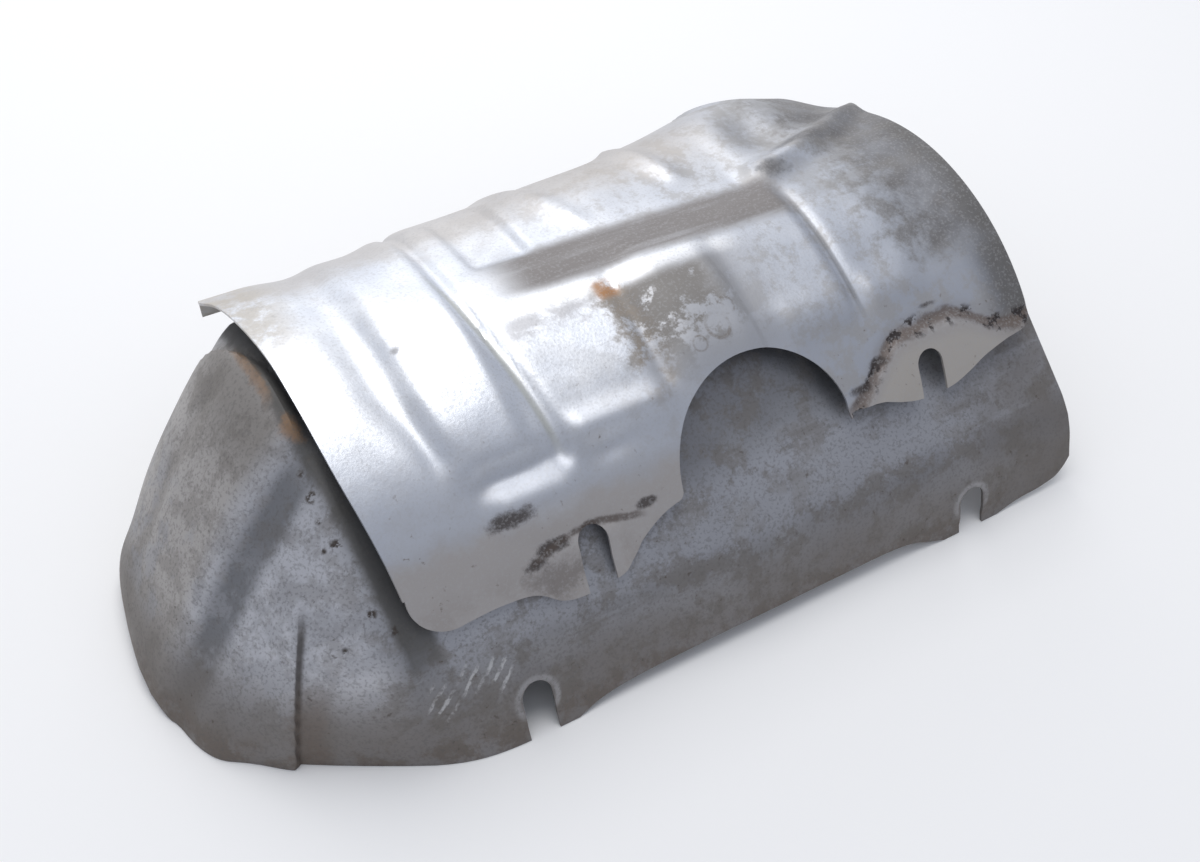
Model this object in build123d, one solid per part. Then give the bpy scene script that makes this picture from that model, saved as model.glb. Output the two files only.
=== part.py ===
"""Heat shield of a diesel particulate filter: two pressed half shells, the upper one
lying over the longer lower one. Millimetres, +Z up, X along the shells, the rims'
lowest points at z = 0 and the box of the whole part centred on the origin."""

import os
from math import acos, atan, atan2, cos, degrees, exp, hypot, log, pi, radians, sin

from build123d import *

# Sheet, ends and the shared axis both shells are pressed round
sheet = 1.0                     # thickness of the aluminised steel
nose_x, nose_y = -184.6, -22.0  # tip of the lower shell's closed end
lower_end_x = 187.0             # open end of the lower shell
upper_start_x = -118.5          # the upper blank starts here, before its collar is trimmed
upper_end_x = 179.5             # far end of the upper shell
axis_height = 10.8              # height of the barrel axis over the rim at x = 0
axis_fall = 0.0321              # the axis drops this much per millimetre of length

# Upper shell
upper_radius = 96.5
edge_angle = 30.0               # the front edge is trimmed square to this direction
notch_x, notch_v, notch_radius = 45.6, 3.0, 38.7
collar_edge = ((-104, -99.8), (-84, -102.6), (-48, -108.5), (-23, -110.2), (4, -110.9), (30, -112.5),
               (49, -114.8), (57, -117.4), (70, -115), (84, -111.7), (104, -104))   # y, x from above

# Lower shell
nest_gap = 8.2                  # room between the two shells along the crown, at x = 0
barrel_radius = upper_radius - sheet - nest_gap
barrel_taper = 0.0165           # radius lost per millimetre of length
shoulder_reach = 6.7            # the shoulder stands this far out past the barrel
skirt_reach = 21.5              # and the rim this far out past the shoulder
shoulder_y = barrel_radius + shoulder_reach
half_width = shoulder_y + skirt_reach
dome_x = -106.0                 # the dome starts here
lobe_height = 6.5               # the lobe stands this far proud behind its valley
pleat_height = 3.0
shoulder_lift = 42.5            # height of the shoulder line at x = -75
skirt_drop = 3.0                # the blank hangs this far under the rim before trimming
rim_lift = 6.5                  # the scalloped rim stands this far over the floor

# Bolt slots, all one width
slot_width = 12.0
seat_radius = 10.8
seat_height = 0.8
upper_slots = ((-32.7, 4.2), (124.0, 18.4))      # middle in x, top along the edge plane
lower_slots = ((-66.0, 21.5), (133.0, 19.5))     # middle in x, top over the rim

# Lofting
upper_spans = ((upper_start_x, 4), (-90, 16), (-26, 15), (94, 4), (110, 7))   # start, sections
upper_points = 42
lower_spans = ((nose_x + 0.1, 6), (-172, 4), (-158, 8), (-128, 3), (-117, 5), (-107, 2), (-97, 3), (-50, 9))
lower_points = 42


def rise(value, start, end):
    """Smooth step from 0 at start to 1 at end."""
    t = min(1.0, max(0.0, (value - start) / (end - start)))
    return t * t * (3 - 2 * t)


def plateau(value, a, b, c, d):
    """1 between b and c, falling smoothly to 0 at a and d."""
    return rise(value, a, b) * (1 - rise(value, c, d))


def bump(value, centre, width):
    """Bell of height 1."""
    return exp(-(((value - centre) / width) ** 2))


def spread(start, end, count, crowd=1.0):
    """Evenly spaced values, crowded toward the start when crowd is over 1."""
    return [start + (end - start) * (i / (count - 1)) ** crowd for i in range(count)]


def stations(spans, end):
    """Section places: each span from its start to the next is cut into equal steps."""
    stops = [start for start, _ in spans[1:]] + [end]
    places = [start + (stop - start) * i / count
              for (start, count), stop in zip(spans, stops) for i in range(count)]
    return places + [end]


def axis_z(x):
    return axis_height - axis_fall * x


# Upper shell: a relief pressed on a cylinder, over x and the angle from the front

def upper_front_relief(x, t):
    """Collar, groove, raised band, pads, panel and step on the visible side."""
    h = 1.0 * (1 - rise(x, -100, -86)) * rise(t, 60, 90)
    groove = -82 + 15 * (1 - rise(t, 42, 78))
    h -= 2.0 * bump(x, groove, 6.5) * rise(t, 40, 58) * (1 - 0.6 * rise(t, 100, 125))
    band = plateau(x, -78, -68, -46, -37) * rise(t, 47, 54)
    h += 2.4 * band * (1 - 0.5 * rise(t, 100, 125))
    crease = -40 + 10 * (1 - rise(t, 46, 95))
    h -= 2.0 * bump(x, crease, 3.2) * rise(t, 45, 54)
    h -= 3.2 * bump(t, 49, 3.2) * plateau(x, -70, -58, -34, -26)
    h += 3.0 * bump(t, 42, 5) * plateau(x, -68, -56, -36, -22)
    h += 2.6 * bump(t, 52.5, 3.2) * plateau(x, -30, -20, 8, 24)
    h -= 1.8 * bump(t, 46.5, 2.8) * bump(x, -14, 10)
    h += 1.6 * plateau(x, 16, 26, 52, 62) * (1 - rise(t, 81, 88)) * rise(t, 42, 60)
    h -= 1.0 * bump(x, 17, 3.4) * plateau(t, 50, 60, 78, 88)
    h += 1.6 * plateau(x, 20, 34, 99, 104) * plateau(t, 52, 62, 86, 97)
    h -= 1.0 * bump(x, 105, 3.2) * plateau(t, 50, 60, 88, 95)
    h += 1.6 * bump(t, 57, 5) * plateau(x, 66, 76, 96, 103)
    h += 1.4 * bump(t, 58, 5) * plateau(x, 108, 114, 128, 140)
    return h


def bead_angle(x):
    """Angle the long diagonal bead has reached at x."""
    return 96 + 24 * max(0.0, (x - 100) / 86) ** 1.6


def upper_back_relief(x, t):
    """The fuller back, the diagonal bead along its foot and the shallow pockets."""
    foot = bead_angle(x)
    along = radians(t - foot) * upper_radius * 0.93
    h = 5.0 * bump(along, 5, 6) * rise(x, 92, 108) * (1 - 0.35 * rise(x, 160, 182))
    full = 3 + 4 * rise(x, -60, -28) + 6 * rise(x, -28, 110) + 6 * bump(x, 122, 30)
    full *= 1 - 0.75 * rise(x, 158, 192)
    start = 98 + (foot - 98) * rise(x, 92, 108)
    h += full * plateau(t, start, start + 30, 134, 160)
    h -= 5 * bump(x, 119, 13) * bump(t, 116, 9)
    h -= 2.4 * plateau(x, -28, -22, -4, 2) * plateau(t, 97, 102, 120, 130)
    h += 1.6 * bump(x, 10 + (131 - t) * 0.55, 5) * plateau(t, 100, 108, 136, 150)
    h += 1.8 * bump(x, 62 + (131 - t) * 0.5, 5) * plateau(t, 104, 112, 136, 150)
    return h


def ear_relief(x, t):
    """The flat pads round the slots and the slight flare of the lowest edge."""
    h = 1.6 * plateau(x, -53, -49, -22, -17) * (1 - rise(t, 28, 32.5))
    crease = 33 + 14 * rise(x, 84, 118) - 7 * rise(x, 140, 170)
    h += 1.7 * (1 - rise(t, crease - 3, crease)) * plateau(x, 81, 87, 174, 180)
    return h + 0.42 * max(0.0, 24 - t)


def upper_point(x, t, depth):
    """Point of the upper shell, depth under its outer face."""
    h = upper_front_relief(x, t) + upper_back_relief(x, t) + ear_relief(x, min(t, 180 - t))
    r = upper_radius + h - depth
    return (x, -r * cos(radians(t)), axis_z(x) + r * sin(radians(t)))


# Lower shell: sections with a round top, tangent flanks, a shoulder and a skirt

def soft_min(a, b, blend):
    """The smaller of two values, rounded where they cross."""
    return -blend * log(exp(-a / blend) + exp(-b / blend))


def nose_round(x):
    return max(0.0, 1 - (max(0.0, nose_x + 16.6 - x) / 16.65) ** 3) ** 0.85


def front_width(x, inset):
    """Distance of the front rim from the middle: straight, then chamfered to the nose."""
    chamfer = half_width - 2.5 - 0.62 * (-98 - x)
    return (soft_min(half_width, chamfer, 5) - inset) * nose_round(x - inset)


def back_width(x, inset):
    """Distance of the back rim from the middle, drawn in earlier than the front."""
    chamfer = half_width - 31.5 + 0.68 * (x + 106) - 0.12 * max(0.0, -135 - x) - 4.5 * bump(x, -167, 9)
    return (soft_min(half_width, chamfer, 8) - inset) * nose_round(x - inset)


def barrel(x, inset):
    return barrel_radius - barrel_taper * x - inset


def crest_z(x, inset):
    run = min(1.0, max(0.0, (dome_x - x + inset) / (dome_x - nose_x)))
    return (axis_z(x) + barrel(x, inset)) * (1 - run ** 1.6) ** 0.98


def barrel_section(x, share, width, inset):
    """Point (y, z) at a share of the way from crest to rim: arc, flank, shoulder, skirt."""
    radius, zc = barrel(x, inset), axis_z(x)
    ys = min(shoulder_y + 7 * rise(x, -50, 40) + 5 * rise(x, 30, 180), width - 11) - 0.7 * inset
    zs = shoulder_lift - 0.045 * (x + 75) - 0.7 * inset
    touch = atan2(zs - zc, ys) + acos(min(1.0, radius / hypot(ys, zs - zc)))
    yt, zt = radius * cos(touch), zc + radius * sin(touch)
    arc = radius * (pi / 2 - touch)
    flank = hypot(ys - yt, zt - zs)
    skirt = hypot(width - ys, zs + skirt_drop)

    def at(run):
        if run < arc:
            turn = pi / 2 - run / radius
            return radius * cos(turn), zc + radius * sin(turn)
        if run < arc + flank:
            k = (run - arc) / flank
            return yt + (ys - yt) * k, zt + (zs - zt) * k
        k = (run - arc - flank) / skirt
        return ys + (width - ys) * k, zs - (skirt_drop + zs) * k

    run = share * (arc + flank + skirt)
    near, here, far = at(max(0.0, run - 10)), at(run), at(min(arc + flank + skirt, run + 10))
    soft = 0.5 * bump(run, arc + flank, 10)
    return tuple(h * (1 - soft) + soft * (n + f) / 2 for n, h, f in zip(near, here, far))


def lower_base(x, s, inset):
    """Lower shell without its pressings; s runs from -1 at the front rim to 1 at the back."""
    width = front_width if s < 0 else back_width
    xs = max(x, dome_x)
    wide, top = width(x, inset), crest_z(x, inset) + skirt_drop
    y, z = barrel_section(xs, abs(s), width(xs, inset), inset)
    y *= wide / width(xs, inset)
    z = (z + skirt_drop) * top / (crest_z(xs, inset) + skirt_drop)
    dome = rise(-x, 104, 142)
    turn = abs(s) * pi / 2
    y += dome * (wide * sin(turn) - y)
    z += dome * (top * cos(turn) - z)
    return (y if s > 0 else -y) + nose_y * (1 - nose_round(x - inset)), z - skirt_drop


def lower_relief(x, y, z):
    """The proud lobe behind its valley, the dome's ridge beside the collar and the sharp pleat."""
    ridge = -114 - 0.004 * max(0.0, y + 12) ** 2 + 0.09 * max(0.0, -30 - y)
    inside = ridge - x
    across = y + 21.5 + 0.17 * (-110 - x)
    h = lobe_height * plateau(across, -13, 4, 52, 92) * rise(inside, -6, 0.5)
    h -= 1.3 * bump(across, -15, 5) * rise(inside, -4, 4)
    h += 2.4 * plateau(inside, -5, 0.5, 4, 34) * (1 - rise(across, -16, -6)) * plateau(z, 30, 50, 200, 201)
    h -= 1.1 * bump(y - 12 - 0.2 * (x + 140), 0, 4) * plateau(-x, 122, 134, 176, 184)
    if y < 0:
        past = x + 150.5 - 0.10 * z - 0.0028 * z * z
        lap = bump(past, 0, max(2.5, 9.5 - 0.12 * z)) if past < 0 else 1 - rise(past, 0, 2)
        h += pleat_height * lap * (1 - rise(z, 52, 70))
    return h * rise(z, -skirt_drop, -skirt_drop + 2)


def lower_point(x, s, inset):
    """Point of the lower shell's form, drawn in by inset all round."""
    y, z = lower_base(x, s, inset)
    ya, za = lower_base(x, max(-1, s - 0.001), inset)
    yb, zb = lower_base(x, min(1, s + 0.001), inset)
    along = hypot(yb - ya, zb - za)
    h = lower_relief(x, y, z) / along
    return (x, y - (zb - za) * h, z + (yb - ya) * h)


def pressed_sheet(point, stations, stops):
    """One sheet lofted through closed sections: outer face, edge, inner face, edge."""
    sections = []
    for x in stations:
        outer = Spline(*[point(x, stop, 0.0) for stop in stops])
        inner = Spline(*[point(x, stop, sheet) for stop in stops])
        sections.append(Wire([outer, Line(outer @ 1, inner @ 1), inner, Line(inner @ 0, outer @ 0)]))
    return Solid.make_loft(sections, ruled=True)


def form(point, stations, stops, inset):
    """Solid under a pressed face, lofted through closed sections down to the blank's foot."""
    sections = []
    for x in stations:
        top = Spline(*[point(x, stop, inset) for stop in stops])
        sections.append(Wire([top, Line(top @ 1, top @ 0)]))
    return Solid.make_loft(sections, ruled=True)


def seat(middle, top, inset, side):
    """Pressed seat round a lower slot's round end: a flat-topped cone standing on the skirt."""
    z = top - slot_width / 2
    foot, head = [lower_point(middle, side * share, inset) for share in (1, 0.9)]
    tilt = atan2(abs(foot[1] - head[1]), head[2] - foot[2])
    y = foot[1] + (head[1] - foot[1]) * (z - foot[2]) / (head[2] - foot[2])
    slope = seat_height
    place = Plane((middle, y, z), x_dir=(1, 0, 0), z_dir=(0, side * cos(tilt), sin(tilt))).location
    return place * Pos(0, 0, -slope) * Cone(seat_radius - inset + 2 * slope, seat_radius - inset,
                                            2 * slope, align=(Align.CENTER, Align.CENTER, Align.MIN))


def slot(middle, top):
    """Open slot with a round end, as a sketch."""
    foot = top - slot_width / 2
    return Pos(middle, foot - 20) * Rectangle(slot_width, 40) + Pos(middle, foot) * Circle(slot_width / 2)


def make_upper():
    shell = pressed_sheet(upper_point, stations(upper_spans, upper_end_x), spread(13, 167, upper_points))
    left, right = notch_x - notch_radius, notch_x + notch_radius
    ear_1 = Spline((-86, -12.6), (-70, -11.8), (-58, -13.2), (-49, -18.4), (-41, -19.8),
                   (-24, -18), (-18, -14.6), (-12, -8.8), (-4, -3.6), (left - 3.6, -1.0))
    ear_2 = Spline((right + 1.4, 5.2), (98, 5.2), (108, 2), (116, 0.2), (132, 0.4),
                   (142, 3.4), (150, 6.8), (162, 10), (174, 12.4), (178.4, 17), (184, 26))
    corner = ThreePointArc((-104, 4), (-99, -8.8), ear_1 @ 0)
    lip = ThreePointArc(ear_1 @ 1, (left - 0.6, 0.4), (left, notch_v))
    notch = ThreePointArc(lip @ 1, (notch_x, notch_v + notch_radius), (right, notch_v))
    hook = Line(notch @ 1, ear_2 @ 0)
    outside = Polyline(ear_2 @ 1, (200, 26), (200, -60), (-130, -60), (-130, 4), corner @ 0)
    trim = make_face([corner, ear_1, lip, notch, hook, ear_2, outside])
    for middle, top in upper_slots:
        trim += slot(middle, top)
    out = radians(edge_angle)
    face_out = Plane((0, 0, 0), x_dir=(1, 0, 0), z_dir=(0, -cos(out), sin(out))).location
    front = Pos(0, 0, axis_height) * Rot(0, degrees(atan(axis_fall)), 0) * face_out * extrude(trim, 130)
    edge = Spline(*[(x, y) for y, x in collar_edge])
    blank = Polyline(edge @ 1, (-160, 104), (-160, -104), edge @ 0)
    collar = extrude(make_face([edge, blank]), 200)
    return shell - [front, mirror(front, Plane.XZ), collar]


def make_lower():
    stops = spread(-1, 1, lower_points)
    places = stations(lower_spans, lower_end_x)
    outer = form(lower_point, places, stops, 0)
    inner = form(lower_point, [x + sheet for x in places[:-1]] + [lower_end_x + 4], stops, sheet)
    for middle, top in lower_slots:
        for side in (-1, 1):
            outer += seat(middle, top, 0, side)
            inner += seat(middle, top, sheet, side)
    scallop = Spline((-52, 0), (-40, 3.6), (0, rim_lift - 0.5), (60, rim_lift), (100, rim_lift - 0.5),
                     (112, 2.4), (119, 0))
    tail = Spline((147, 0), (158, 2.2), (172, 3.2), (181, 5.5), (lower_end_x + 3, 15))
    floor = Polyline(tail @ 1, (lower_end_x + 9, 15), (lower_end_x + 9, -20), (-200, -20), (-200, 0), scallop @ 0)
    trim = make_face([scallop, Line(scallop @ 1, tail @ 0), tail, floor])
    for middle, top in lower_slots:
        trim += slot(middle, top)
    return outer - [inner, extrude(Plane.XZ * trim, 150, both=True)]


centred = Pos(-(nose_x + 0.1 + lower_end_x) / 2, 0, 0)
os.makedirs("parts", exist_ok=True)
for name, node in (("upper_shell", make_upper()), ("lower_shell", make_lower())):
    node = centred * node
    export_step(node, f"parts/{name}.step")
    print(name, "volume", round(node.volume), "box", node.bounding_box())
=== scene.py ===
"""Heat shield of a diesel particulate filter: two pressed shells of aluminised steel.

The CAD nodes are plain pressings. This scene stands finer meshes of the same forms over
them, adds the dents and waves of the used part, and gives each its worn metal.
Lengths are written in millimetres and turned to metres where a mesh is made.
"""

import logging
import math
from dataclasses import dataclass, field
from enum import Enum
from typing import Callable, Sequence

import bmesh
import bpy
import numpy as np
from mathutils import Matrix, Vector

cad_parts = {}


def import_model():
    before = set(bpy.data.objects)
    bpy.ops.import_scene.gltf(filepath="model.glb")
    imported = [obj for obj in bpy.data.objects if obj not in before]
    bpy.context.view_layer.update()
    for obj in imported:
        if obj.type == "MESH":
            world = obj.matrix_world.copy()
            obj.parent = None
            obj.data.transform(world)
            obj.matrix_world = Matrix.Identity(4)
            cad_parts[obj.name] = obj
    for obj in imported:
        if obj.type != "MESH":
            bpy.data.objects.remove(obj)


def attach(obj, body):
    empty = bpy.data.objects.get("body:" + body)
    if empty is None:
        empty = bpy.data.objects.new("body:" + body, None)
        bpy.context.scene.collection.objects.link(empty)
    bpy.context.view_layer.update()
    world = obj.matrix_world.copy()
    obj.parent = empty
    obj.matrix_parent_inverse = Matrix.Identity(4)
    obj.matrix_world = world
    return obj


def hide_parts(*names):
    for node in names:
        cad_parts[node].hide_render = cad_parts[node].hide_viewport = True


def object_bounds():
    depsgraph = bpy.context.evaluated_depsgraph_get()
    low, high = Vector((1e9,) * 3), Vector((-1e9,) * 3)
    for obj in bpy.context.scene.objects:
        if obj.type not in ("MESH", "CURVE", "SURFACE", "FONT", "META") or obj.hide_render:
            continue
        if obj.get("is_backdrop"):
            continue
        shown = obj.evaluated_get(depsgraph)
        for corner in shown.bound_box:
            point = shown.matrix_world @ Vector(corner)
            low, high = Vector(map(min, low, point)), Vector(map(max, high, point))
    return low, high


LOG = logging.getLogger("heat_shield")
MM = 0.001
Array = np.ndarray


# Small shape functions, shared by both shells


def rise(value: Array, start: float | Array, end: float | Array) -> Array:
    """Smooth step from 0 at start to 1 at end."""
    t = np.clip((value - start) / (end - start), 0.0, 1.0)
    return t * t * (3 - 2 * t)


def plateau(value: Array, a: float | Array, b: float | Array, c: float, d: float) -> Array:
    """1 between b and c, falling smoothly to 0 at a and d."""
    return rise(value, a, b) * (1 - rise(value, c, d))


def bump(value: Array, centre: float | Array, width: float) -> Array:
    """Bell of height 1."""
    return np.exp(-(((value - centre) / width) ** 2))


def spline(points: Sequence[tuple[float, float]], steps: int = 10) -> list[tuple[float, float]]:
    """Smooth open curve through points, for the outline of a trim.

    Args:
        points: the points in order.
        steps: pieces that each span is cut into.

    Returns:
        The points of the curve, first and last included.
    """
    p = np.array(points, float)
    chord = np.sqrt(np.linalg.norm(np.diff(p, axis=0), axis=1))
    knots = np.concatenate([[0.0], np.cumsum(chord)])
    slope = np.zeros_like(p)
    secant = np.diff(p, axis=0) / np.diff(knots)[:, None]
    slope[1:-1] = (secant[:-1] * np.diff(knots)[1:, None] + secant[1:] * np.diff(knots)[:-1, None]) / (
        knots[2:] - knots[:-2])[:, None]
    slope[0], slope[-1] = 1.5 * secant[0] - 0.5 * slope[1], 1.5 * secant[-1] - 0.5 * slope[-2]
    out = []
    for i in range(len(p) - 1):
        for k in range(steps):
            t, h = k / steps, knots[i + 1] - knots[i]
            a, b = 2 * t**3 - 3 * t**2 + 1, t**3 - 2 * t**2 + t
            bend = b * h * slope[i] + (t**3 - t**2) * h * slope[i + 1]
            out.append(tuple(a * p[i] + (1 - a) * p[i + 1] + bend))
    return out + [tuple(p[-1])]


def arc(start: tuple[float, float], middle: tuple[float, float], end: tuple[float, float],
        steps: int = 16) -> list[tuple[float, float]]:
    """Circle arc through three points."""
    (ax, ay), (bx, by), (cx, cy) = start, middle, end
    d = 2 * (ax * (by - cy) + bx * (cy - ay) + cx * (ay - by))
    sa, sb, sc = ax * ax + ay * ay, bx * bx + by * by, cx * cx + cy * cy
    ox = (sa * (by - cy) + sb * (cy - ay) + sc * (ay - by)) / d
    oy = (sa * (cx - bx) + sb * (ax - cx) + sc * (bx - ax)) / d
    r = math.hypot(ax - ox, ay - oy)
    a0, a1, a2 = (math.atan2(y - oy, x - ox) for x, y in (start, middle, end))
    turn, through = (a2 - a0) % math.tau, (a1 - a0) % math.tau
    if through > turn:
        turn -= math.tau
    return [(ox + r * math.cos(a0 + turn * k / steps), oy + r * math.sin(a0 + turn * k / steps))
            for k in range(steps + 1)]


@dataclass(frozen=True)
class Shield:
    """Sizes that the two pressings share with the CAD part, in millimetres and degrees."""

    sheet: float = 1.0
    nose_x: float = -184.6
    nose_y: float = -22.0
    lower_end_x: float = 187.0
    upper_start_x: float = -118.5
    upper_end_x: float = 179.5
    axis_height: float = 10.8
    axis_fall: float = 0.0321
    upper_radius: float = 96.5
    edge_angle: float = 30.0
    notch: tuple[float, float, float] = (45.6, 3.0, 38.7)
    collar_edge: tuple[tuple[float, float], ...] = (
        (-104, -99.8), (-84, -102.6), (-48, -108.5), (-23, -110.2), (4, -110.9), (30, -112.5),
        (49, -114.8), (57, -117.4), (70, -115), (84, -111.7), (104, -104))
    barrel_radius: float = 87.3
    barrel_taper: float = 0.0165
    shoulder_y: float = 94.0
    half_width: float = 115.5
    dome_x: float = -106.0
    shoulder_lift: float = 42.5
    skirt_drop: float = 3.0
    rim_lift: float = 6.5
    lobe_height: float = 6.5
    pleat_height: float = 3.0
    seat_radius: float = 10.8
    seat_height: float = 0.8
    slot_width: float = 12.0
    upper_slots: tuple[tuple[float, float], ...] = ((-32.7, 4.2), (124.0, 18.4))
    lower_slots: tuple[tuple[float, float], ...] = ((-66.0, 21.5), (133.0, 19.5))

    def axis_z(self, x: Array) -> Array:
        """Height of the barrel axis at x."""
        return self.axis_height - self.axis_fall * x

    @property
    def middle_x(self) -> float:
        """Middle of the whole part's box before it is centred."""
        return (self.nose_x + 0.1 + self.lower_end_x) / 2


class MeshKit:
    """Builds plain closed meshes from grids and outlines, and cuts them."""

    @staticmethod
    def add(name: str, points: Array, faces: Sequence[Sequence[int]]) -> bpy.types.Object:
        """Object at the origin from points in millimetres and lists of corners."""
        bm = bmesh.new()
        corners = [bm.verts.new(Vector(p) * MM) for p in points]
        for face in faces:
            bm.faces.new([corners[i] for i in face])
        bmesh.ops.recalc_face_normals(bm, faces=bm.faces)
        mesh = bpy.data.meshes.new(name)
        bm.to_mesh(mesh)
        bm.free()
        obj = bpy.data.objects.new(name, mesh)
        bpy.context.scene.collection.objects.link(obj)
        return obj

    @staticmethod
    def grid_faces(rows: int, columns: int, first: int = 0) -> list[tuple[int, ...]]:
        """Quads of a grid whose points are stored row by row."""
        return [(first + i * columns + j, first + (i + 1) * columns + j,
                 first + (i + 1) * columns + j + 1, first + i * columns + j + 1)
                for i in range(rows - 1) for j in range(columns - 1)]

    @classmethod
    def sheet(cls, name: str, outer: Array, inner: Array) -> bpy.types.Object:
        """Closed sheet between two grids of points, edges included."""
        rows, columns = outer.shape[:2]
        count = rows * columns
        faces = cls.grid_faces(rows, columns) + [f[::-1] for f in cls.grid_faces(rows, columns, count)]
        ring = ([j for j in range(columns)] + [i * columns + columns - 1 for i in range(1, rows)]
                + [(rows - 1) * columns + j for j in range(columns - 2, -1, -1)]
                + [i * columns for i in range(rows - 2, 0, -1)])
        for a, b in zip(ring, ring[1:] + ring[:1]):
            faces.append((a, b, b + count, a + count))
        return cls.add(name, np.concatenate([outer.reshape(-1, 3), inner.reshape(-1, 3)]), faces)

    @classmethod
    def form(cls, name: str, top: Array) -> bpy.types.Object:
        """Solid under a grid whose rows are sections, closed along their feet."""
        rows, columns = top.shape[:2]
        faces = cls.grid_faces(rows, columns)
        for i in range(rows - 1):
            faces.append((i * columns, i * columns + columns - 1, (i + 1) * columns + columns - 1,
                          (i + 1) * columns))
        faces.append(tuple(range(columns)))
        faces.append(tuple((rows - 1) * columns + j for j in range(columns)))
        return cls.add(name, top.reshape(-1, 3), faces)

    @classmethod
    def prism(cls, name: str, outline: Sequence[tuple[float, float]], place: Callable, depth: float,
              start: float = 0.0) -> bpy.types.Object:
        """Outline in a plane, extruded along its normal.

        Args:
            name: name of the cutter.
            outline: closed polygon, (along, up) in the plane.
            place: turns (along, up, out) into a point of the part.
            depth: length of the prism.
            start: where it starts.
        """
        n = len(outline)
        points = [place(a, u, start) for a, u in outline] + [place(a, u, start + depth) for a, u in outline]
        faces = [tuple(range(n)), tuple(range(2 * n - 1, n - 1, -1))]
        faces += [(i, (i + 1) % n, (i + 1) % n + n, i + n) for i in range(n)]
        return cls.add(name, np.array(points, float), faces)

    @staticmethod
    def cut(target: bpy.types.Object, cutters: Sequence[bpy.types.Object]) -> None:
        """Takes the cutters out of the target, one after another, and removes them."""
        for cutter in cutters:
            step = target.modifiers.new("cut", "BOOLEAN")
            step.operation, step.solver, step.object = "DIFFERENCE", "MANIFOLD", cutter
            graph = bpy.context.evaluated_depsgraph_get()
            mesh = bpy.data.meshes.new_from_object(target.evaluated_get(graph), depsgraph=graph)
            target.modifiers.clear()
            old, target.data = target.data, mesh
            bpy.data.meshes.remove(old)
            bpy.data.objects.remove(cutter)
        LOG.info("%s: %d faces after its cuts", target.name, len(target.data.polygons))

    @staticmethod
    def smooth(obj: bpy.types.Object, degrees: float) -> None:
        """Smooth shading, broken where faces meet more sharply than degrees."""
        obj.data.shade_smooth()
        obj.data.set_sharp_from_angle(angle=math.radians(degrees))


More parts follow.
